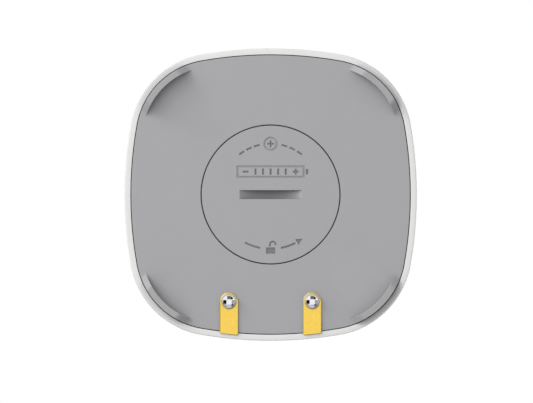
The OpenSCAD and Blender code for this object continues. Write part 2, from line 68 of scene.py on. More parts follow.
half_w = shell_high.x
body_h = shell_high.z
plate_z = shell_low.z
base_in = half_w - base_high.x
door_r = door_high.x
contact_z = contact_low.z
contact_w = contact_high.x - contact_low.x
probe_x = (screw_low.x + screw_high.x) / 2
probe_y = (screw_low.y + screw_high.y) / 2
screw_head_r = (screw_high.x - screw_low.x) / 2
screw_z = screw_low.z
pipe_y = (pipe_low.y + pipe_high.y) / 2
board_top = board_high.z

# Housing: plan arcs and side profile
side_r = 85.5
corner_r = 18.2
flat_corner_r = 1.0
belt_z = 7.5
crown_rise = 1.5
lower_tuck = 0.15
rim_flat = 1.18
rim_round = 0.1
gap_round = 0.06
wall = 1.8
shelf_z = plate_z + 2.2
shelf_t = 1.2
shelf_w = 1.55

# Screw bosses under the roof of the housing, whose threads end a little below the ceiling
board_screws_at = ((-20, -2), (20, -2), (0, 20))
board_boss_r = 2.6
thread_r = 0.92
thread_end = 0.65

# Base plate, feet and battery well
base_t = 1.6
foot_w = 1.3
foot_sole = 8.8
foot_ramp = 2.3
ramp_round = 0.3
edge_round = 0.06
root_round = 0.04
wall_draft = 0.02
door_gap = 0.2
edge = 0.1
ledge_z = plate_z + 1.9
ledge_top = plate_z + 2.9
bore_r = 13.5
groove_r = 14.5
well_r = 16.3
well_top = plate_z + 5.8

# Inside of the base: snap hooks, ribs, screw bosses, and the notches and stops of the bayonet
hook_in = 3.1
hook_t = 1.0
hook_w = 4.0
hook_play = 0.1
barb_in = 2.0
barb_flat = 0.3
barb_h = 0.9
rib_t = 1.0
rib_h = 1.5
boss_r = 3.0
boss_h = 1.0
screw_hole_r = 1.15
counterbore_r = 2.0
counterbore_z = plate_z + 2.0
notch_r = 14.4
notch_degrees = (-60, -30)
stop_r = 13.6
stop_degrees = (14.5, 60.5)

# Door, with its lugs at three places round it
skirt_ri = 12.45
skirt_ro = 13.35
flange_top = plate_z + 1.8
door_floor = plate_z + 3.0
seal_groove_r = 13.7
seal_groove_low = plate_z + 0.35
seal_groove_top = plate_z + 1.45
lug_r = 14.3
lug_play = 0.1
lug_t = 1.0
lug_degrees = (-13, 13)
slot_len = 13.2
slot_w = 1.9
slot_depth = 2.2

# Signs on the door, placed as they are seen from below, with X to the right
mark_w = 0.4
mark_half = mark_w / 2
mark_depth = 0.15
cell_y = 10.75
cell_ring_r = 1.3
cell_plus = 0.7
cell_plus_half = 0.18
dash_count = 3
dash_degrees = 6.5
dash_pitch = 9.5
dash_start = 102.5
battery_y = 4.85
battery_half_w = 7.2
battery_half_h = 1.3
pole_gap = 0.25
pole_w = 0.5
pole_half_h = 0.55
minus_x = (-5.9, -4.7)
plus_x = 5.3
plus_reach = 0.6
cell_lines_x = (-3.2, -1.6, 0, 1.6, 3.2)
cell_line_half_h = 0.65
turn_r = 11.5
turn_bars = ((242, 259), (281, 297))
turn_head = (299, 306)
turn_head_half = 0.65
lock_half_w = 0.95
lock_y = (-12.5, -11.2)
shackle_at = (0.45, -10.55)
shackle_r = 0.6
shackle_w = 0.36
shackle_leg = 0.45
shackle_short_leg = 0.1

# Probes. The dome of a screw head gives up its last few points to the rounded edge
contact_lap = 0.4
contact_corner_r = 0.4
contact_edge = 0.1
tip_shift = 0.15
tip_edge_w = 0.36
tip_edge_h = 0.32
tip_edge_blend = math.radians(20)
tip_share = 0.5
hole_gap = 0.15
screw_d = 2.0
screw_head_h = 1.0
screw_dome_h = 0.4
screw_edge_round = 0.45
edge_points = 3
recess_len = 2.5
recess_w = 0.8
recess_flare = 0.05
recess_top = 0.26
recess_depth = 0.76
recess_floor_len = 1.1

# Button and light pipe. The pipe's dome is given as (share of its radius, depth under the top)
button_r = 4.5
button_gap = 0.15
button_collar_gap = 0.2
button_collar_t = 0.7
button_groove_r = 3.85
button_groove_low = body_h - 1.3
button_groove_top = body_h - 0.5
dish_depth = 0.25
stem_r = 1.2
pipe_r = 1.0
pipe_gap = 0.05
pipe_collar_t = 0.7
pipe_dome = ((0, 0), (0.6, 0.018), (0.9, 0.06), (1, 0.2))

# How far tools reach past the faces that they join or cut
overlap = 0.3
cut_past = 1.0

# Steps along arcs
side_steps = 12
corner_steps = 56
crown_steps = 12
shoulder_steps = 22
lower_steps = 10
inner_shoulder_steps = 10
inner_crown_steps = 6
round_steps = 5
ramp_samples = 6
sole_steps = 4
circle_steps = 192
small_steps = 96
hole_steps = 48
band_steps = 16
bow_steps = 12
dish_steps = 12
dome_steps = 14

# Edges sharper than these angles, in degrees, stay sharp. Sides shorter than the least are merged
plain_smooth = 35
door_smooth = 12
screw_smooth = 20
least_side = 0.0001

# Derived sizes
half_side = side_r - half_w
arc_gap = side_r - corner_r
corner_c = (math.sqrt(2 * arc_gap**2 - half_side**2) - half_side) / 2
side_angle = math.atan2(corner_c, corner_c + half_side)
rim_in = lower_tuck + rim_flat
shelf_in = rim_in + shelf_w
shelf_top = shelf_z + shelf_t
base_top = plate_z + base_t
barb_z = shelf_top + hook_play
lug_low = ledge_top + lug_play
lug_top = lug_low + lug_t
ceiling_z = body_h - wall
opening_r = door_r + door_gap
crown_run = corner_r - flat_corner_r
lower_rise = belt_z - plate_z
lower_r = (lower_rise**2 + lower_tuck**2) / (2 * lower_tuck)
lower_angle = math.asin(lower_rise / lower_r)
shoulder_r = body_h - belt_z - crown_rise
shoulder_to_crown = crown_run - shoulder_r
crown_r = ((crown_rise + shoulder_r) ** 2 + shoulder_to_crown**2 - shoulder_r**2) / (2 * crown_rise)
crown_angle = math.asin(shoulder_to_crown / (crown_r - shoulder_r))


# Outlines and profiles
def spread(start, stop, steps):
    """Evenly spaced values from start to stop, both included."""
    return [start + (stop - start) * i / steps for i in range(steps + 1)]


def arc(cx, cy, r, start, stop, steps):
    return [(cx + r * math.cos(a), cy + r * math.sin(a)) for a in spread(start, stop, steps)]


def circle(r, steps=circle_steps, cx=0.0, cy=0.0):
    return arc(cx, cy, r, 0, 2 * math.pi, steps)[:-1]


def turned(points, a):
    return [(x * math.cos(a) - y * math.sin(a), x * math.sin(a) + y * math.cos(a)) for x, y in points]


def bar(x1, x2, y1, y2):
    return [(x1, y1), (x2, y1), (x2, y2), (x1, y2)]


def plus(cx, cy, reach, half):
    return [(cx + x, cy + y) for x, y in (
        (reach, -half), (reach, half), (half, half), (half, reach), (-half, reach), (-half, half),
        (-reach, half), (-reach, -half), (-half, -half), (-half, -reach), (half, -reach), (half, -half))]


def band(r, width, start, stop):
    """Part of a flat ring about the origin, between two angles in degrees."""
    a, b = math.radians(start), math.radians(stop)
    return arc(0, 0, r + width / 2, a, b, band_steps) + arc(0, 0, r - width / 2, b, a, band_steps)


def sector(r1, r2, degrees, third):
    """Part of a flat ring between two radii, at one of three places round the door."""
    return turned(band((r1 + r2) / 2, r2 - r1, *degrees), third * 2 * math.pi / 3)


def outline(inset):
    """Plan outline of the body, inset from its widest line: four bowed sides and four corners."""
    side = arc(-half_side, 0, side_r - inset, -side_angle, side_angle, side_steps)[:-1]
    corner_end = math.pi / 2 - side_angle
    corner = arc(corner_c, corner_c, corner_r - inset, side_angle, corner_end, corner_steps)[:-1]
    return [p for k in range(4) for p in turned(side + corner, k * math.pi / 2)]


def ring_at(inset, z):
    return [(x, y, z) for x, y in outline(inset)]


def rounded_corner(a, b, c, r, steps):
    """Points of an arc that rounds the corner at b between a and c."""
    a, b, c = Vector(a), Vector(b), Vector(c)
    u, v = (a - b).normalized(), (c - b).normalized()
    half = u.angle(v) / 2
    centre = b + (u + v).normalized() * r / math.sin(half)
    first = b + u * r / math.tan(half) - centre
    last = b + v * r / math.tan(half) - centre
    turn = first.angle_signed(last)
    start = math.atan2(first.y, first.x)
    return arc(centre.x, centre.y, r, start, start - turn, steps)


def rounded_profile(points, radii):
    """A profile whose inner corners are rounded by their radius. A radius of 0 keeps the corner."""
    made = [points[0]]
    for a, b, c, r in zip(points, points[1:], points[2:], radii):
        made += rounded_corner(a, b, c, r, round_steps) if r else [b]
    return made + [points[-1]]


# Mesh building, in millimetres
def add_ring(bm, points):
    return [bm.verts.new(p) for p in points]


def bridge(bm, a, b):
    """Quads between two rings of as many points."""
    n = len(a)
    return [bm.faces.new((a[i], a[(i + 1) % n], b[(i + 1) % n], b[i])) for i in range(n)]


def loft(bm, rings):
    made = [add_ring(bm, r) for r in rings]
    for a, b in zip(made, made[1:]):
        bridge(bm, a, b)
    return made


def capped_loft(bm, rings):
    """A closed shape through rings, with a flat face at each end."""
    made = loft(bm, rings)
    bm.faces.new(made[0])
    bm.faces.new(made[-1])


def ring_edges(bm, ring):
    """The edges of a ring, which are made where they don't exist yet."""
    pairs = zip(ring, ring[1:] + ring[:1])
    return [bm.edges.get(pair) or bm.edges.new(pair) for pair in pairs]


def fill(bm, *rings):
    """A flat face with holes: the first ring is its border."""
    edges = [e for ring in rings for e in ring_edges(bm, ring)]
    bmesh.ops.triangle_fill(bm, use_beauty=True, use_dissolve=False, edges=edges)


def lathe(bm, profile, steps=circle_steps, cx=0.0, cy=0.0):
    """A turned shape from a profile of (radius, height) points. An end on the axis is closed by a fan."""
    rings = []
    for r, z in profile:
        if r > 0:
            rings.append(add_ring(bm, [(x, y, z) for x, y in circle(r, steps, cx, cy)]))
        else:
            rings.append([bm.verts.new((cx, cy, z))])
    for a, b in zip(rings, rings[1:]):
        if len(a) > 1 and len(b) > 1:
            bridge(bm, a, b)
        else:
            tip, ring = (a[0], b) if len(a) == 1 else (b[0], a)
            for i in range(steps):
                bm.faces.new((tip, ring[i], ring[(i + 1) % steps]))
    return rings


def prism(bm, points, z1, z2, mark=0):
    """A closed prism over an outline, all of whose faces get one material number."""
    low = add_ring(bm, [(x, y, z1) for x, y in points])
    high = add_ring(bm, [(x, y, z2) for x, y in points])
    faces = bridge(bm, low, high) + [bm.faces.new(low), bm.faces.new(high)]
    for f in faces:
        f.material_index = mark


def frame_prism(bm, outer, inner, z1, z2, mark=0):
    """A closed prism over an outline with a hole that has as many points."""
    rings = loft(bm, [[(x, y, z) for x, y in points]
                      for points, z in ((outer, z1), (outer, z2), (inner, z2), (inner, z1))])
    faces = bridge(bm, rings[-1], rings[0])
    for f in faces:
        f.material_index = mark


def shade(mesh, smooth_angle):
    """Smooth shading, but for the edges that are sharper than an angle in degrees."""
    mesh.polygons.foreach_set("use_smooth", [True] * len(mesh.polygons))
    mesh.set_sharp_from_angle(angle=math.radians(smooth_angle))


def mesh_object(name, bm, materials, smooth_angle=plain_smooth):
    """Turns a mesh in millimetres into an object in metres."""
    bmesh.ops.recalc_face_normals(bm, faces=bm.faces)
    bmesh.ops.scale(bm, vec=(MM, MM, MM), verts=bm.verts)
    mesh = bpy.data.meshes.new(name)
    bm.to_mesh(mesh)
    bm.free()
    for m in materials:
        mesh.materials.append(m)
    shade(mesh, smooth_angle)
    obj = bpy.data.objects.new(name, mesh)
    bpy.context.scene.collection.objects.link(obj)
    return obj


def weld(mesh):
    """Merges points that lie on each other and drops faces without area."""
    bm = bmesh.new()
    bm.from_mesh(mesh)
    bmesh.ops.remove_doubles(bm, verts=bm.verts, dist=least_side * MM)
    bmesh.ops.dissolve_degenerate(bm, dist=least_side * MM, edges=bm.edges)
    bm.to_mesh(mesh)
    bm.free()


def combine(obj, tool, operation, smooth_angle=plain_smooth):
    """Joins a tool to obj or takes it out, by the name of a boolean operation."""
    mod = obj.modifiers.new("combine", "BOOLEAN")
    mod.object = tool
    mod.operation = operation
    mod.solver = "EXACT"
    deps = bpy.context.evaluated_depsgraph_get()
    mesh = bpy.data.meshes.new_from_object(obj.evaluated_get(deps))
    obj.modifiers.clear()
    obj.data = mesh
    weld(mesh)
    shade(mesh, smooth_angle)
    bpy.data.objects.remove(tool)


def piece(obj, body, slot, *nodes):
    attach(obj, body)
    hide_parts(*nodes)
    return obj


# Materials. The sizes of grains, clouds and patches are in millimetres
noise_middle = (0.3, 0.7)
# Painted shade in corners and hollows: how far it looks for surfaces near by, and with how many samples
hollow_shade_reach = 8.0
hollow_shade_samples = 8
white = (0.78, 0.78, 0.775)
grey = (0.394, 0.394, 0.404)
# Dark grey for the engraved signs on the door: painted shade in their recesses
sign_recess_shade = (0.2, 0.2, 0.205)


def node_tree(name):
    mat = bpy.data.materials.new(name)
    mat.use_nodes = True
    tree = mat.node_tree
    return mat, tree, tree.nodes["Principled BSDF"]


def noise(tree, size, detail=3.0, stretch=None):
    """A noise texture whose grains are about as large as size."""
    place = tree.nodes.new("ShaderNodeTexCoord").outputs["Object"]
    if stretch:
        mapping = tree.nodes.new("ShaderNodeMapping")
        mapping.inputs["Scale"].default_value = stretch
        tree.links.new(place, mapping.inputs["Vector"])
        place = mapping.outputs["Vector"]
    tex = tree.nodes.new("ShaderNodeTexNoise")
    tex.inputs["Scale"].default_value = 1 / (size * MM)
    tex.inputs["Detail"].default_value = detail
    tree.links.new(place, tex.inputs["Vector"])
    return tex.outputs["Fac"]


def ranged(tree, value, low=0.0, high=1.0, source=noise_middle):
    """Maps a value, such as the middle part of a noise, to the range from low to high."""
    node = tree.nodes.new("ShaderNodeMapRange")
    node.inputs["From Min"].default_value = source[0]
    node.inputs["From Max"].default_value = source[1]
    node.inputs["To Min"].default_value = low
    node.inputs["To Max"].default_value = high
    tree.links.new(value, node.inputs["Value"])
    return node.outputs["Result"]


def mixed(tree, factor, a, b):
    node = tree.nodes.new("ShaderNodeMix")
    node.data_type = "RGBA"
    tree.links.new(factor, node.inputs["Factor"])
    for socket, colour in (("A", a), ("B", b)):
        target = next(s for s in node.inputs if s.name == socket and s.type == "RGBA")
        if isinstance(colour, tuple):
            target.default_value = (*colour, 1)
        else:
            tree.links.new(colour, target)
    return next(s for s in node.outputs if s.type == "RGBA")


def shaded(colour, share):
    return tuple(min(1.0, c * share) for c in colour)


def clouded(tree, pattern, colour, vary):
    """A colour that a pattern makes darker and lighter by a share."""
    return mixed(tree, ranged(tree, pattern), shaded(colour, 1 - vary), shaded(colour, 1 + vary))


def worn(tree, colour, edge_colour, amount, convex=(0.52, 0.62), patch=0.8, least=0.3):
    """Blends a colour towards another along the convex edges, broken up by noise."""
    pointiness = tree.nodes.new("ShaderNodeNewGeometry").outputs["Pointiness"]
    patchy = tree.nodes.new("ShaderNodeMath")
    patchy.operation = "MULTIPLY"
    tree.links.new(ranged(tree, pointiness, 0, amount, convex), patchy.inputs[0])
    tree.links.new(ranged(tree, noise(tree, patch), least, 1), patchy.inputs[1])
    return mixed(tree, patchy.outputs["Value"], colour, edge_colour)


def bumped(tree, shader, height, strength, distance):
    node = tree.nodes.new("ShaderNodeBump")
    node.inputs["Strength"].default_value = strength
    node.inputs["Distance"].default_value = distance * MM
    tree.links.new(height, node.inputs["Height"])
    tree.links.new(node.outputs["Normal"], shader.inputs["Normal"])


def painted_hollow_shade(tree, colour, unshaded_tint, amount):
    """Paints shade into a colour: darker in corners, grooves and under parts, where ambient occlusion finds
    surfaces near by.
    """
    near = tree.nodes.new("ShaderNodeAmbientOcclusion")
    near.samples = hollow_shade_samples
    near.inputs["Distance"].default_value = hollow_shade_reach * MM
    return mixed(tree, near.outputs["AO"], shaded(colour, 1 - amount), unshaded_tint)


def roughened(tree, shader, low, high, patch):
    """A roughness that wanders between two values."""
    tree.links.new(ranged(tree, noise(tree, patch), low, high), shader.inputs["Roughness"])


def moulded(name, colour, rough, grain=0.18, wear=0.1, hollow_shade=0.0, specular=0.5,
            cloud=6.0, vary=0.008, polish=1.15, patch=1.2, spread_rough=0.06,
            detail=2.0, bump=0.35, depth=0.004):
    """A moulded plastic or rubber: fine grain, faint cloudy tint, slightly polished edges, and painted shade
    in corners and hollows where a share of it is given.
    """
    mat, tree, shader = node_tree(name)
    tint = clouded(tree, noise(tree, cloud), colour, vary)
    tint = worn(tree, tint, shaded(colour, polish), wear)
    # Painted shade in corners and hollows, as strong as its share
    if hollow_shade:
        tint = painted_hollow_shade(tree, colour, tint, hollow_shade)
    tree.links.new(tint, shader.inputs["Base Color"])
    roughened(tree, shader, rough - spread_rough, rough + spread_rough, patch)
    shader.inputs["Specular IOR Level"].default_value = specular
    bumped(tree, shader, noise(tree, grain, detail), bump, depth)
    return mat


def metal(name, colour, rough, stretch=(1, 1, 1), vary=0.04, depth=0.001, wear=0.2, hollow_shade=0.0,
          line=0.25, detail=4.0, polish=1.1, patch=0.6, spread_rough=0.2, bump=0.25):
    """A metal with fine lines along its longest grain, brighter edges, and painted shade in corners and
    hollows where a share of it is given.
    """
    mat, tree, shader = node_tree(name)
    lines = noise(tree, line, detail, stretch)
    tint = clouded(tree, lines, colour, vary)
    tint = worn(tree, tint, shaded(colour, polish), wear)
    # Painted shade in corners and hollows, as strong as its share
    if hollow_shade:
        tint = painted_hollow_shade(tree, colour, tint, hollow_shade)
    tree.links.new(tint, shader.inputs["Base Color"])
    roughened(tree, shader, rough * (1 - spread_rough), rough * (1 + spread_rough), patch)
    shader.inputs["Metallic"].default_value = 1.0
    bumped(tree, shader, lines, bump, depth)
    return mat


def solder_mask(name, colour, copper, pitch=9.0, track=0.012, cloud=3.0, vary=0.1, patch=0.8,
                rough=(0.25, 0.35), bump=0.4, depth=0.03):
    """A circuit board: green lacquer over faint copper tracks."""
    mat, tree, shader = node_tree(name)
    tracks = tree.nodes.new("ShaderNodeTexBrick")
    tracks.inputs["Scale"].default_value = 1 / (pitch * MM)
    tracks.inputs["Mortar Size"].default_value = track
    tree.links.new(tree.nodes.new("ShaderNodeTexCoord").outputs["Object"], tracks.inputs["Vector"])
    lacquer = clouded(tree, noise(tree, cloud), colour, vary)
    tree.links.new(mixed(tree, tracks.outputs["Fac"], lacquer, copper), shader.inputs["Base Color"])
    roughened(tree, shader, *rough, patch)
    bumped(tree, shader, tracks.outputs["Fac"], bump, depth)
    return mat


def clear(name, colour, rough, cloud=1.5, darker=0.97, patch=0.5, spread_rough=0.3, through=0.6, ior=1.49,
          grain=0.4, bump=0.15, depth=0.002):
    """A clear moulding with faint flow marks."""
    mat, tree, shader = node_tree(name)
    tint = mixed(tree, ranged(tree, noise(tree, cloud)), shaded(colour, darker), colour)
    tree.links.new(tint, shader.inputs["Base Color"])
    roughened(tree, shader, rough * (1 - spread_rough), rough * (1 + spread_rough), patch)
    shader.inputs["Transmission Weight"].default_value = through
    shader.inputs["IOR"].default_value = ior
    bumped(tree, shader, noise(tree, grain), bump, depth)
    return mat


MATERIALS = {
    # Housing, base and door get painted shade in their corners and hollows, and the gold strips a little
    # round the screw heads
    "housing_white": moulded("housing_white", white, 0.5, wear=0.03, hollow_shade=0.46, specular=0.15),
    "button_white": moulded("button_white", shaded(white, 0.98), 0.42, wear=0.03, specular=0.25),
    "base_grey": moulded("base_grey", grey, 0.62, hollow_shade=0.46, specular=0.2),
    "door_grey": moulded("door_grey", grey, 0.6, hollow_shade=0.46, specular=0.2),
    # The faces of the engraved signs: painted shade in their recesses
    "door_sign_shade": moulded("door_sign_shade", sign_recess_shade, 0.6),
    "seal_silicone": moulded("seal_silicone", (0.10, 0.10, 0.11), 0.7, grain=0.3),
    "pipe_clear": clear("pipe_clear", (0.93, 0.95, 0.96), 0.12),
    "cell_steel": metal("cell_steel", (0.70, 0.70, 0.72), 0.3, (1, 12, 12)),
    "cell_cap": metal("cell_cap", (0.72, 0.72, 0.74), 0.25, (12, 1, 12)),
    "plastic_black": moulded("plastic_black", (0.03, 0.03, 0.032), 0.5),
    "spring_bronze": metal("spring_bronze", (0.62, 0.43, 0.16), 0.3, (10, 1, 10)),
    "contact_gold": metal("contact_gold", (1.0, 0.68, 0.122), 0.34, (14, 1, 14), vary=0.01, hollow_shade=0.08),
    # A paler, duller gold for the bevel round the strip's inner end: painted shading and reflection of that
    # rounded edge
    "contact_edge": metal("contact_edge", (0.84, 0.74, 0.44), 0.3, vary=0.02),
    "screw_chrome": metal("screw_chrome", (0.86, 0.86, 0.87), 0.07, vary=0.02, depth=0.0004),
    "screw_steel": metal("screw_steel", (0.60, 0.60, 0.62), 0.3),
    "post_brass": metal("post_brass", (0.70, 0.50, 0.20), 0.28, (8, 8, 1)),
    "board_green": solder_mask("board_green", (0.02, 0.16, 0.06), (0.05, 0.26, 0.09)),
    "shield_steel": metal("shield_steel", (0.70, 0.70, 0.72), 0.35, (1, 10, 10)),
    "ceramic_ivory": moulded("ceramic_ivory", (0.82, 0.80, 0.72), 0.3, grain=0.1),
    "led_clear": clear("led_clear", (0.92, 0.89, 0.72), 0.15),
    "capacitor_amber": moulded("capacitor_amber", (0.60, 0.26, 0.03), 0.35, grain=0.1),
}


def dress_inner_nodes():
    """Gives every CAD node the finish of its slot in the record."""
    for part in frame["record"]["subparts"]:
        mesh = frame["nodes"][part["node"]].data
        mesh.materials.clear()
        mesh.materials.append(MATERIALS[part["material_slot"]])


# Housing
def crown_at(a, depth=0.0):
    """(inset, height) on the crown's arc, at a depth under the outer face."""
    r = crown_r - depth
    return crown_run - r * math.sin(a), body_h - crown_r + r * math.cos(a)


def shoulder_at(a, depth=0.0):
    """(inset, height) on the shoulder's arc, at a depth under the outer face."""
    r = shoulder_r - depth
    return shoulder_r - r * math.sin(a), belt_z + r * math.cos(a)


def shell_profile():
    """(inset, height) points from the flat top down the outside, under the rim and up the inside."""
    crown = [crown_at(a) for a in spread(0, crown_angle, crown_steps)]
    shoulder = [shoulder_at(a) for a in spread(crown_angle, math.pi / 2, shoulder_steps)[1:]]
    lower = [(lower_r - lower_r * math.cos(a), belt_z - lower_r * math.sin(a))
             for a in spread(0, lower_angle, lower_steps)[1:-1]]
    rim = rounded_profile([lower[-1], (lower_tuck, plate_z), (rim_in, plate_z), (rim_in, shelf_z),
                           (shelf_in, shelf_z), (shelf_in, shelf_top), (wall, shelf_top)],
                          [rim_round, gap_round, 0, 0, 0])[1:]
    inner_shoulder = [shoulder_at(a, wall) for a in spread(math.pi / 2, crown_angle, inner_shoulder_steps)]
    inner_crown = [crown_at(a, wall) for a in spread(crown_angle, 0, inner_crown_steps)[1:]]
    return crown + shoulder + lower + rim + inner_shoulder + inner_crown


def make_shell():
    bm = bmesh.new()
    rings = loft(bm, [ring_at(d, z) for d, z in shell_profile()])
    hole_r = button_r + button_gap
    pipe_hole_r = pipe_r + pipe_gap
    button_hole = lathe(bm, [(hole_r + edge, body_h), (hole_r, body_h - edge), (hole_r, ceiling_z)],
                        small_steps)
    pipe_hole = lathe(bm, [(pipe_hole_r, body_h), (pipe_hole_r, ceiling_z)], small_steps, 0, pipe_y)
    fill(bm, rings[0], button_hole[0], pipe_hole[0])
    fill(bm, rings[-1], button_hole[-1], pipe_hole[-1])
    finish = [MATERIALS["housing_white"]]
    shell = mesh_object("housing_shell", bm, finish)
    bosses, bores = bmesh.new(), bmesh.new()
    for x, y in board_screws_at:
        prism(bosses, circle(board_boss_r, small_steps, x, y), board_top, ceiling_z)
        prism(bores, circle(thread_r, small_steps, x, y), board_top - overlap, ceiling_z - thread_end)
    combine(shell, mesh_object("board_bosses", bosses, finish), "UNION")
    combine(shell, mesh_object("board_bores", bores, finish), "DIFFERENCE")
    return piece(shell, "housing", "housing_white", "top_shell")


def make_button():
    bm = bmesh.new()
    face_r = button_r - edge
    dish_r = (face_r**2 + dish_depth**2) / (2 * dish_depth)
    dish_angle = math.asin(face_r / dish_r)
    dish = [(dish_r * math.sin(a), body_h - dish_depth + dish_r - dish_r * math.cos(a))
            for a in spread(0, dish_angle, dish_steps)]
    groove = [(button_r, body_h - edge), (button_r, button_groove_top), (button_groove_r, button_groove_top),
              (button_groove_r, button_groove_low), (button_r, button_groove_low)]
    collar_r = button_high.x
    collar_top = ceiling_z - button_collar_gap
    collar_low = collar_top - button_collar_t
    collar = [(button_r, collar_top), (collar_r, collar_top), (collar_r, collar_low)]
    stem = [(stem_r, collar_low), (stem_r, button_low.z), (0, button_low.z)]
    lathe(bm, dish + groove + collar + stem, small_steps)
    button = mesh_object("button_cap", bm, [MATERIALS["button_white"]])
    return piece(button, "function_button", "button_white", "function_button")


def make_pipe():
    bm = bmesh.new()
    collar_r = pipe_high.x
    collar_low = ceiling_z - pipe_collar_t
    dome = [(pipe_r * share, body_h - depth) for share, depth in pipe_dome]
    collar = [(pipe_r, ceiling_z), (collar_r, ceiling_z), (collar_r, collar_low), (pipe_r, collar_low)]
    stem = [(pipe_r, pipe_low.z), (0, pipe_low.z)]
    lathe(bm, dome + collar + stem, hole_steps, 0, pipe_y)
    pipe = mesh_object("status_light_pipe", bm, [MATERIALS["pipe_clear"]])
    return piece(pipe, "housing", "pipe_clear", "light_pipe")


# Base with its feet
def foot_height(x, y):
    """Height of a corner foot at a place, with its ramps softened at both ends."""
    off_diagonal = abs(abs(x) - abs(y)) / math.sqrt(2)
    half_foot = foot_sole / 2 + foot_ramp
    samples = spread(-ramp_round, ramp_round, ramp_samples)
    ramps = [min(max((half_foot - off_diagonal - s) / foot_ramp, 0), 1) for s in samples]
    return plate_z * sum(ramps) / len(ramps)


def foot_section():
    """(inset, share of the foot's height, height added) from the outer wall over the foot to the plate."""
    inner = base_in + foot_w
    quarter = spread(0, math.pi / 2, round_steps)
    outer_edge = [(base_in + edge_round * (1 - math.cos(a)), 1, edge_round * (1 - math.sin(a)))
                  for a in quarter]
    sole = [(d, 1, 0) for d in spread(base_in + edge_round, inner - edge_round, sole_steps)[1:-1]]
    sole_edge = [(inner - edge_round * (1 - math.sin(a)), 1 - edge_round / plate_z * (1 - math.cos(a)), 0)
                 for a in quarter]
    root = [(inner + wall_draft + root_round * (1 - math.cos(a)), root_round / plate_z * (1 - math.sin(a)), 0)
            for a in quarter]
    return outer_edge + sole + sole_edge + root


def add_hook(bm, side_turn, along):
    """A snap hook whose barb reaches over the housing's shelf, at an angle along one bowed side."""
    profile = [(hook_in + hook_t, base_top - overlap), (hook_in, base_top - overlap), (hook_in, barb_z),
               (barb_in, barb_z), (barb_in, barb_z + barb_flat), (hook_in, barb_z + barb_h),
               (hook_in + hook_t, barb_z + barb_h)]
    rings = []
    for across in (-hook_w / 2, hook_w / 2):
        points = turned([(side_r - inset, across) for inset, z in profile], along)
        points = turned([(x - half_side, y) for x, y in points], side_turn)
        rings.append([(x, y, z) for (x, y), (inset, z) in zip(points, profile)])
    capped_loft(bm, rings)


def base_inside():
    """The hooks, ribs, screw bosses and lug stops that rise from the base."""
    bm = bmesh.new()
    for side_turn in (0, math.pi / 2, math.pi):
        for along in (-side_angle / 2, side_angle / 2):
            add_hook(bm, side_turn, along)
    rib_end = math.sqrt(2) * corner_c + corner_r - hook_in - hook_t
    rib = bar(well_r - overlap, rib_end, -rib_t / 2, rib_t / 2)
    for k in range(4):
        prism(bm, turned(rib, math.pi / 4 + k * math.pi / 2), base_top - overlap, base_top + rib_h)
    for x in (-probe_x, probe_x):
        prism(bm, circle(boss_r, small_steps, x, probe_y), base_top - overlap, base_top + boss_h)
    for k in range(3):
        prism(bm, sector(stop_r, groove_r + overlap, stop_degrees, k), ledge_top - overlap, lug_top)
    return mesh_object("base_inside", bm, [MATERIALS["base_grey"]])


def base_holes():
    """The screw holes with their counterbores, and the notches that let the door's lugs pass."""
    bm = bmesh.new()
    low, high = plate_z - overlap, base_top + boss_h + overlap
    hole = [(0, low), (screw_hole_r, low), (screw_hole_r, counterbore_z), (counterbore_r, counterbore_z),
            (counterbore_r, high), (0, high)]
    for x in (-probe_x, probe_x):
        lathe(bm, hole, small_steps, x, probe_y)
    for k in range(3):
        notch = sector(bore_r - overlap, notch_r, notch_degrees, k)
        prism(bm, notch, ledge_z - overlap, ledge_top + overlap)
    return mesh_object("base_holes", bm, [MATERIALS["base_grey"]])


def make_base():
    bm = bmesh.new()
    rings = [ring_at(base_in, base_top)]
    for inset, share, added in foot_section():
        rings.append([(x, y, plate_z - share * foot_height(x, y) + added) for x, y in outline(inset)])
    shape = loft(bm, rings)
    well = lathe(bm, [(opening_r + edge, plate_z), (opening_r, plate_z + edge), (opening_r, ledge_z),
                      (bore_r, ledge_z), (bore_r, ledge_top), (groove_r, ledge_top), (groove_r, well_top),
                      (well_r, well_top), (well_r, base_top)])
    fill(bm, shape[-1], well[0])
    fill(bm, shape[0], well[-1])
    base = mesh_object("base_plate", bm, [MATERIALS["base_grey"]])
    combine(base, base_inside(), "UNION")
    combine(base, base_holes(), "DIFFERENCE")
    return piece(base, "housing", "base_grey", "base_cover")


# Battery door
def seen(points):
    """Mirrors a layout seen from below into the frame."""
    return [(-x, y) for x, y in reversed(points)]


# Signs are cut into the door, and their faces take the second finish, a painted shade
def add_sign(bm, points):
    prism(bm, seen(points), plate_z - mark_depth, plate_z + mark_depth, 1)


def add_hollow_sign(bm, outer, inner):
    frame_prism(bm, seen(outer), seen(inner), plate_z - mark_depth, plate_z + mark_depth, 1)


def arrow_head(r, start, stop, half):
    """A triangle on a ring about the door's centre, pointing from start to stop."""
    a, b = math.radians(start), math.radians(stop)
    return [((r - half) * math.cos(a), (r - half) * math.sin(a)),
            ((r + half) * math.cos(a), (r + half) * math.sin(a)),
            (r * math.cos(b), r * math.sin(b))]


def padlock_shackle():
    """An open bow: a half ring with a long leg on its left and a short one on its right."""
    cx, cy = shackle_at
    outer_r, inner_r = shackle_r + shackle_w / 2, shackle_r - shackle_w / 2
    long_y, short_y = cy - shackle_leg, cy - shackle_short_leg
    outer = arc(cx, cy, outer_r, 0, math.pi, bow_steps)
    inner = arc(cx, cy, inner_r, math.pi, 0, bow_steps)
    long_leg = [(cx - outer_r, long_y), (cx - inner_r, long_y)]
    return [(cx + outer_r, short_y)] + outer + long_leg + inner + [(cx + inner_r, short_y)]


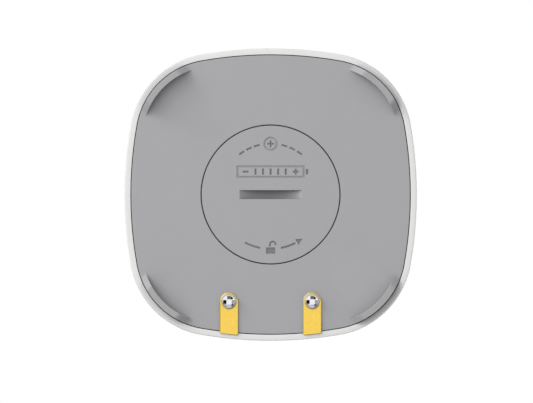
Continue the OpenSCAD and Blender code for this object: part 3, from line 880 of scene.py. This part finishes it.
def add_cell_sign(bm):
    """A ring with a plus, between two rows of dashes."""
    add_hollow_sign(bm, circle(cell_ring_r + mark_half, hole_steps, 0, cell_y),
                    circle(cell_ring_r - mark_half, hole_steps, 0, cell_y))
    add_sign(bm, plus(0, cell_y, cell_plus, cell_plus_half))
    for k in range(dash_count):
        start = dash_start + dash_pitch * k
        stop = start + dash_degrees
        add_sign(bm, band(cell_y, mark_w, start, stop))
        add_sign(bm, band(cell_y, mark_w, 180 - stop, 180 - start))


def add_battery_sign(bm):
    """A battery with its cells and its two poles."""
    low, high = battery_y - battery_half_h, battery_y + battery_half_h
    add_hollow_sign(bm, bar(-battery_half_w, battery_half_w, low, high),
                    bar(-battery_half_w + mark_w, battery_half_w - mark_w, low + mark_w, high - mark_w))
    pole_x = battery_half_w + pole_gap
    add_sign(bm, bar(pole_x, pole_x + pole_w, battery_y - pole_half_h, battery_y + pole_half_h))
    add_sign(bm, bar(*minus_x, battery_y - mark_half, battery_y + mark_half))
    add_sign(bm, plus(plus_x, battery_y, plus_reach, mark_half))
    for x in cell_lines_x:
        line_low, line_high = battery_y - cell_line_half_h, battery_y + cell_line_half_h
        add_sign(bm, bar(x - mark_half, x + mark_half, line_low, line_high))


def add_turn_sign(bm):
    """An open padlock on a curved arrow, which shows the way to turn."""
    for start, stop in turn_bars:
        add_sign(bm, band(turn_r, mark_w, start, stop))
    add_sign(bm, arrow_head(turn_r, *turn_head, turn_head_half))
    add_sign(bm, bar(-lock_half_w, lock_half_w, *lock_y))
    add_sign(bm, padlock_shackle())


def add_slot(bm):
    """A coin slot with straight sides and a curved floor."""
    slot_r = (slot_len**2 / 4 + slot_depth**2) / (2 * slot_depth)
    half = math.asin(slot_len / 2 / slot_r)
    lens = [(slot_len / 2, plate_z - cut_past)]
    lens += [(slot_r * math.sin(a), plate_z + slot_depth - slot_r + slot_r * math.cos(a))
             for a in spread(half, -half, hole_steps)]
    lens += [(-slot_len / 2, plate_z - cut_past)]
    capped_loft(bm, [[(x, y, z) for x, z in lens] for y in (-slot_w / 2, slot_w / 2)])


def make_door():
    bm = bmesh.new()
    lathe(bm, [(0, plate_z), (door_r - edge, plate_z), (door_r, plate_z + edge), (door_r, seal_groove_low),
               (seal_groove_r, seal_groove_low), (seal_groove_r, seal_groove_top), (door_r, seal_groove_top),
               (door_r, flange_top), (skirt_ro, flange_top), (skirt_ro, door_high.z), (skirt_ri, door_high.z),
               (skirt_ri, door_floor), (0, door_floor)])
    # The second finish, on the faces of the engraved signs, is painted shade in their recesses
    finish = [MATERIALS["door_grey"], MATERIALS["door_sign_shade"]]
    door = mesh_object("door_disc", bm, finish, door_smooth)
    lugs = bmesh.new()
    for k in range(3):
        prism(lugs, sector(skirt_ro - overlap, lug_r, lug_degrees, k), lug_low, lug_top)
    combine(door, mesh_object("door_lugs", lugs, finish), "UNION", door_smooth)
    tool = bmesh.new()
    add_slot(tool)
    add_cell_sign(tool)
    add_battery_sign(tool)
    add_turn_sign(tool)
    combine(door, mesh_object("door_cutter", tool, finish), "DIFFERENCE", door_smooth)
    return piece(door, "battery_door", "door_grey", "battery_door")


# Probes
def contact_outline():
    """Outline of the right strip: its outer end follows the body and its inner end is round.

    Each point has a share, which is 1 round the inner end and 0 elsewhere.
    """
    end_r = side_r - rim_in + contact_lap
    near_x, far_x = probe_x - contact_w / 2, probe_x + contact_w / 2
    near = (near_x, half_side - math.sqrt(end_r**2 - near_x**2))
    far = (far_x, half_side - math.sqrt(end_r**2 - far_x**2))
    ends = (rounded_corner((near_x, probe_y), near, far, contact_corner_r, round_steps)
            + rounded_corner(near, far, (far_x, probe_y), contact_corner_r, round_steps))
    tip = arc(probe_x, probe_y + tip_shift, contact_w / 2, 0, math.pi, hole_steps)
    shares = [min(1, math.sin(a) / math.sin(tip_edge_blend)) for a in spread(0, math.pi, hole_steps)]
    return ends + tip, [0] * len(ends) + shares


def make_contact(side, side_name):
    """A gold strip whose edge is bevelled, and more so round its inner end."""
    bm = bmesh.new()
    points, shares = contact_outline()
    edge_line, face_line = [], []
    for (x, y), before, after, share in zip(points, points[-1:] + points, points[1:] + points[:1], shares):
        outward = Vector((after[1] - before[1], before[0] - after[0])).normalized()
        width = contact_edge + (tip_edge_w - contact_edge) * share
        depth = contact_edge + (tip_edge_h - contact_edge) * share
        edge_line.append((side * x, y, contact_z + depth))
        face_line.append((side * (x - outward.x * width), y - outward.y * width, contact_z))
    root = add_ring(bm, [(side * x, y, plate_z) for x, y in points])
    border = add_ring(bm, edge_line)
    face = add_ring(bm, face_line)
    bridge(bm, root, border)
    # Where the bevel widens round the inner end it takes the second finish, whose paler, duller gold paints
    # in the shading and reflection of that rounded edge
    for f, share in zip(bridge(bm, border, face), shares):
        f.material_index = 1 if share > tip_share else 0
    bm.faces.new(root)
    bm.faces.new(face)
    finish = [MATERIALS["contact_gold"], MATERIALS["contact_edge"]]
    strip = mesh_object("strip_" + side_name, bm, finish)
    hole = bmesh.new()
    hole_line = circle(screw_d / 2 + hole_gap, hole_steps, side * probe_x, probe_y)
    prism(hole, hole_line, contact_z - cut_past, plate_z + cut_past)
    combine(strip, mesh_object("hole_" + side_name, hole, finish), "DIFFERENCE")
    strip.visible_diffuse = False
    return piece(strip, "housing", "contact_gold", "probe_contact_" + side_name)


def screw_profile():
    """(radius, height) points from the domed head, over its rounded edge, to the end of the shank."""
    dome_r = (screw_head_r**2 + screw_dome_h**2) / (2 * screw_dome_h)
    dome_angle = math.asin(screw_head_r / dome_r)
    dome = [(dome_r * math.sin(a), screw_z + dome_r - dome_r * math.cos(a))
            for a in spread(0, dome_angle, dome_steps)]
    head_top = screw_z + screw_head_h
    shank_r = screw_d / 2
    body = [(screw_head_r, head_top), (shank_r, head_top), (shank_r, screw_high.z), (0, screw_high.z)]
    inner_dome = dome[:-edge_points]
    radii = [0] * (len(inner_dome) - 1) + [screw_edge_round] + [0] * (len(body) - 1)
    return rounded_profile(inner_dome + dome[-1:] + body, radii)


def make_screw(side, side_name):
    cx = side * probe_x
    finish = [MATERIALS["screw_chrome"]]
    bm = bmesh.new()
    lathe(bm, screw_profile(), small_steps, cx, probe_y)
    screw = mesh_object("screw_" + side_name, bm, finish, screw_smooth)
    tool = bmesh.new()
    slope = (recess_len - recess_floor_len) / (recess_depth - recess_top)
    steps = ((screw_z - overlap, recess_len + slope * (recess_top + overlap), recess_w * (1 + recess_flare)),
             (screw_z + recess_top, recess_len, recess_w),
             (screw_z + recess_depth, recess_floor_len, recess_w * (1 - recess_flare)))
    capped_loft(tool, [[(x, y, z) for x, y in plus(cx, probe_y, length / 2, width / 2)]
                       for z, length, width in steps])
    combine(screw, mesh_object("recess_" + side_name, tool, finish), "DIFFERENCE", screw_smooth)
    screw.visible_diffuse = False
    return piece(screw, "housing", "screw_chrome", "probe_screw_" + side_name)


# Camera: straight below the object, with a long lens and image up along +Y
image_w = 533
image_h = 403
object_px = 292.4
centre_px = (270.65, 194.6)
lens_mm = 900
sensor_mm = 36
far_clip_m = 100


def make_camera():
    mm_per_px = 2 * half_w / object_px
    distance = lens_mm / sensor_mm * image_w * mm_per_px
    camera = bpy.data.objects.new("camera", bpy.data.cameras.new("camera"))
    bpy.context.scene.collection.objects.link(camera)
    camera.data.lens = lens_mm
    camera.data.sensor_width = sensor_mm
    camera.data.clip_end = far_clip_m
    turn = Matrix.Rotation(math.pi, 3, "Y")
    camera.rotation_euler = turn.to_euler()
    middle_x = (centre_px[0] - image_w / 2) * mm_per_px
    middle_y = (centre_px[1] - image_h / 2) * mm_per_px
    camera.location = (Vector((middle_x, middle_y, belt_z)) + turn @ Vector((0, 0, distance))) * MM
    bpy.context.scene.camera = camera


# Light: soft boxes, an even surround, and cards that only reflections show.
# Azimuth and elevation are in degrees, as seen in the photograph, and sizes in metres
lamp_distance = 0.9
card_distance = 0.5
card_steps = 24
ambient_level = 0.47
low_band = (-12, 30)
SOFTBOXES = (
    # name, azimuth, elevation, width, height, level
    ("key_high", 143, 62, 0.6, 0.72, 0.42),
    ("key_low", 143, 22, 0.6, 0.54, 0.58),
    ("key_above", -35, -58, 0.75, 0.75, 0.62),
)
CARDS = (
    # name, azimuths, elevations, level
    ("card_right", (-10, 10), low_band, 0.01),
    ("card_front", (195, 345), (32, 50), 0.33),
    ("card_spot_right", (36, 70), (50, 68), 0.01),
    ("card_spot_front", (-64, -32), (47, 63), 0.1),
    ("card_spot_left", (205, 240), (42, 60), 0.45),
    ("rim_right", (10, 70), low_band, 0.42),
    ("rim_back", (70, 110), low_band, 0.6),
    ("rim_left", (175, 255), low_band, 0.4),
    ("rim_front", (255, 285), low_band, 0.16),
    ("rim_corner", (285, 350), low_band, 0.1),
)


def direction(azimuth, elevation):
    """From the object, as seen in the photograph: anticlockwise from the right, and out of the plate."""
    a, e = math.radians(azimuth), math.radians(elevation)
    return Vector((-math.cos(a) * math.cos(e), math.sin(a) * math.cos(e), -math.sin(e)))


def softbox(name, azimuth, elevation, width, height, level):
    """A soft light in a direction. Level is what a white surface facing it would show."""
    toward = direction(azimuth, elevation)
    lamp = bpy.data.lights.new(name, "AREA")
    lamp.shape = "RECTANGLE"
    lamp.size = width
    lamp.size_y = height
    lamp.energy = level * math.pi**2 * lamp_distance**2
    obj = bpy.data.objects.new(name, lamp)
    obj.location = toward * lamp_distance
    obj.rotation_euler = toward.to_track_quat("Z", "Y").to_euler()
    obj.visible_camera = False
    obj.visible_glossy = False
    bpy.context.scene.collection.objects.link(obj)


def card(name, azimuths, elevations, level):
    """A curved card round the object, as bright as its level, that only reflections show."""
    mat, tree, shader = node_tree(name)
    shader.inputs["Base Color"].default_value = (0, 0, 0, 1)
    shader.inputs["Specular IOR Level"].default_value = 0
    shader.inputs["Emission Color"].default_value = (1, 1, 1, 1)
    shader.inputs["Emission Strength"].default_value = level
    rows = [[direction(a, e) * card_distance for a in spread(*azimuths, card_steps)] for e in elevations]
    n = card_steps + 1
    mesh = bpy.data.meshes.new(name)
    mesh.from_pydata(rows[0] + rows[1], [], [(i, i + 1, n + i + 1, n + i) for i in range(card_steps)])
    mesh.materials.append(mat)
    obj = bpy.data.objects.new(name, mesh)
    for kind in ("camera", "diffuse", "transmission", "shadow"):
        setattr(obj, "visible_" + kind, False)
    bpy.context.scene.collection.objects.link(obj)


def make_world():
    """An even surround that lights the object, and a white one that the camera, metal and glass see."""
    world = bpy.data.worlds.new("studio")
    bpy.context.scene.world = world
    world.use_nodes = True
    nodes, links = world.node_tree.nodes, world.node_tree.links
    ambient = nodes["Background"]
    ambient.inputs["Color"].default_value = (1, 1, 1, 1)
    ambient.inputs["Strength"].default_value = ambient_level
    backdrop = nodes.new("ShaderNodeBackground")
    backdrop.inputs["Color"].default_value = (1, 1, 1, 1)
    backdrop.inputs["Strength"].default_value = 1.0
    rays = nodes.new("ShaderNodeLightPath")
    seen_rays = rays.outputs["Is Camera Ray"]
    for kind in ("Is Glossy Ray", "Is Transmission Ray"):
        either = nodes.new("ShaderNodeMath")
        either.operation = "MAXIMUM"
        links.new(seen_rays, either.inputs[0])
        links.new(rays.outputs[kind], either.inputs[1])
        seen_rays = either.outputs["Value"]
    pick = nodes.new("ShaderNodeMixShader")
    links.new(seen_rays, pick.inputs["Fac"])
    links.new(ambient.outputs["Background"], pick.inputs[1])
    links.new(backdrop.outputs["Background"], pick.inputs[2])
    links.new(pick.outputs["Shader"], nodes["World Output"].inputs["Surface"])


# Floor: just under the soles, pale from above and open to a view from below
floor_half_m = 4.0
floor_drop = 0.03
floor_cloud = 40.0
floor_tones = ((0.88, 0.88, 0.88), (0.9, 0.9, 0.9))


def floor_material():
    mat = bpy.data.materials.new("floor")
    mat.use_nodes = True
    tree = mat.node_tree
    tree.nodes.clear()
    pale = tree.nodes.new("ShaderNodeBsdfDiffuse")
    tree.links.new(mixed(tree, ranged(tree, noise(tree, floor_cloud)), *floor_tones), pale.inputs["Color"])
    mix = tree.nodes.new("ShaderNodeMixShader")
    tree.links.new(tree.nodes.new("ShaderNodeNewGeometry").outputs["Backfacing"], mix.inputs["Fac"])
    tree.links.new(pale.outputs["BSDF"], mix.inputs[1])
    tree.links.new(tree.nodes.new("ShaderNodeBsdfTransparent").outputs["BSDF"], mix.inputs[2])
    out = tree.nodes.new("ShaderNodeOutputMaterial")
    tree.links.new(mix.outputs["Shader"], out.inputs["Surface"])
    return mat


def make_floor():
    corners = bar(-floor_half_m, floor_half_m, -floor_half_m, floor_half_m)
    mesh = bpy.data.meshes.new("floor")
    mesh.from_pydata([(x, y, -floor_drop * MM) for x, y in corners], [], [(0, 1, 2, 3)])
    mesh.materials.append(floor_material())
    floor = bpy.data.objects.new("floor", mesh)
    bpy.context.scene.collection.objects.link(floor)
    for kind in ("diffuse", "glossy", "transmission", "shadow"):
        setattr(floor, "visible_" + kind, False)


dress_inner_nodes()
make_shell()
make_button()
make_pipe()
make_base()
make_door()
for side, side_name in ((-1, "left"), (1, "right")):
    make_contact(side, side_name)
    make_screw(side, side_name)
make_camera()
for values in SOFTBOXES:
    softbox(*values)
for values in CARDS:
    card(*values)
make_world()
make_floor()
bpy.context.scene.view_settings.view_transform = "Standard"
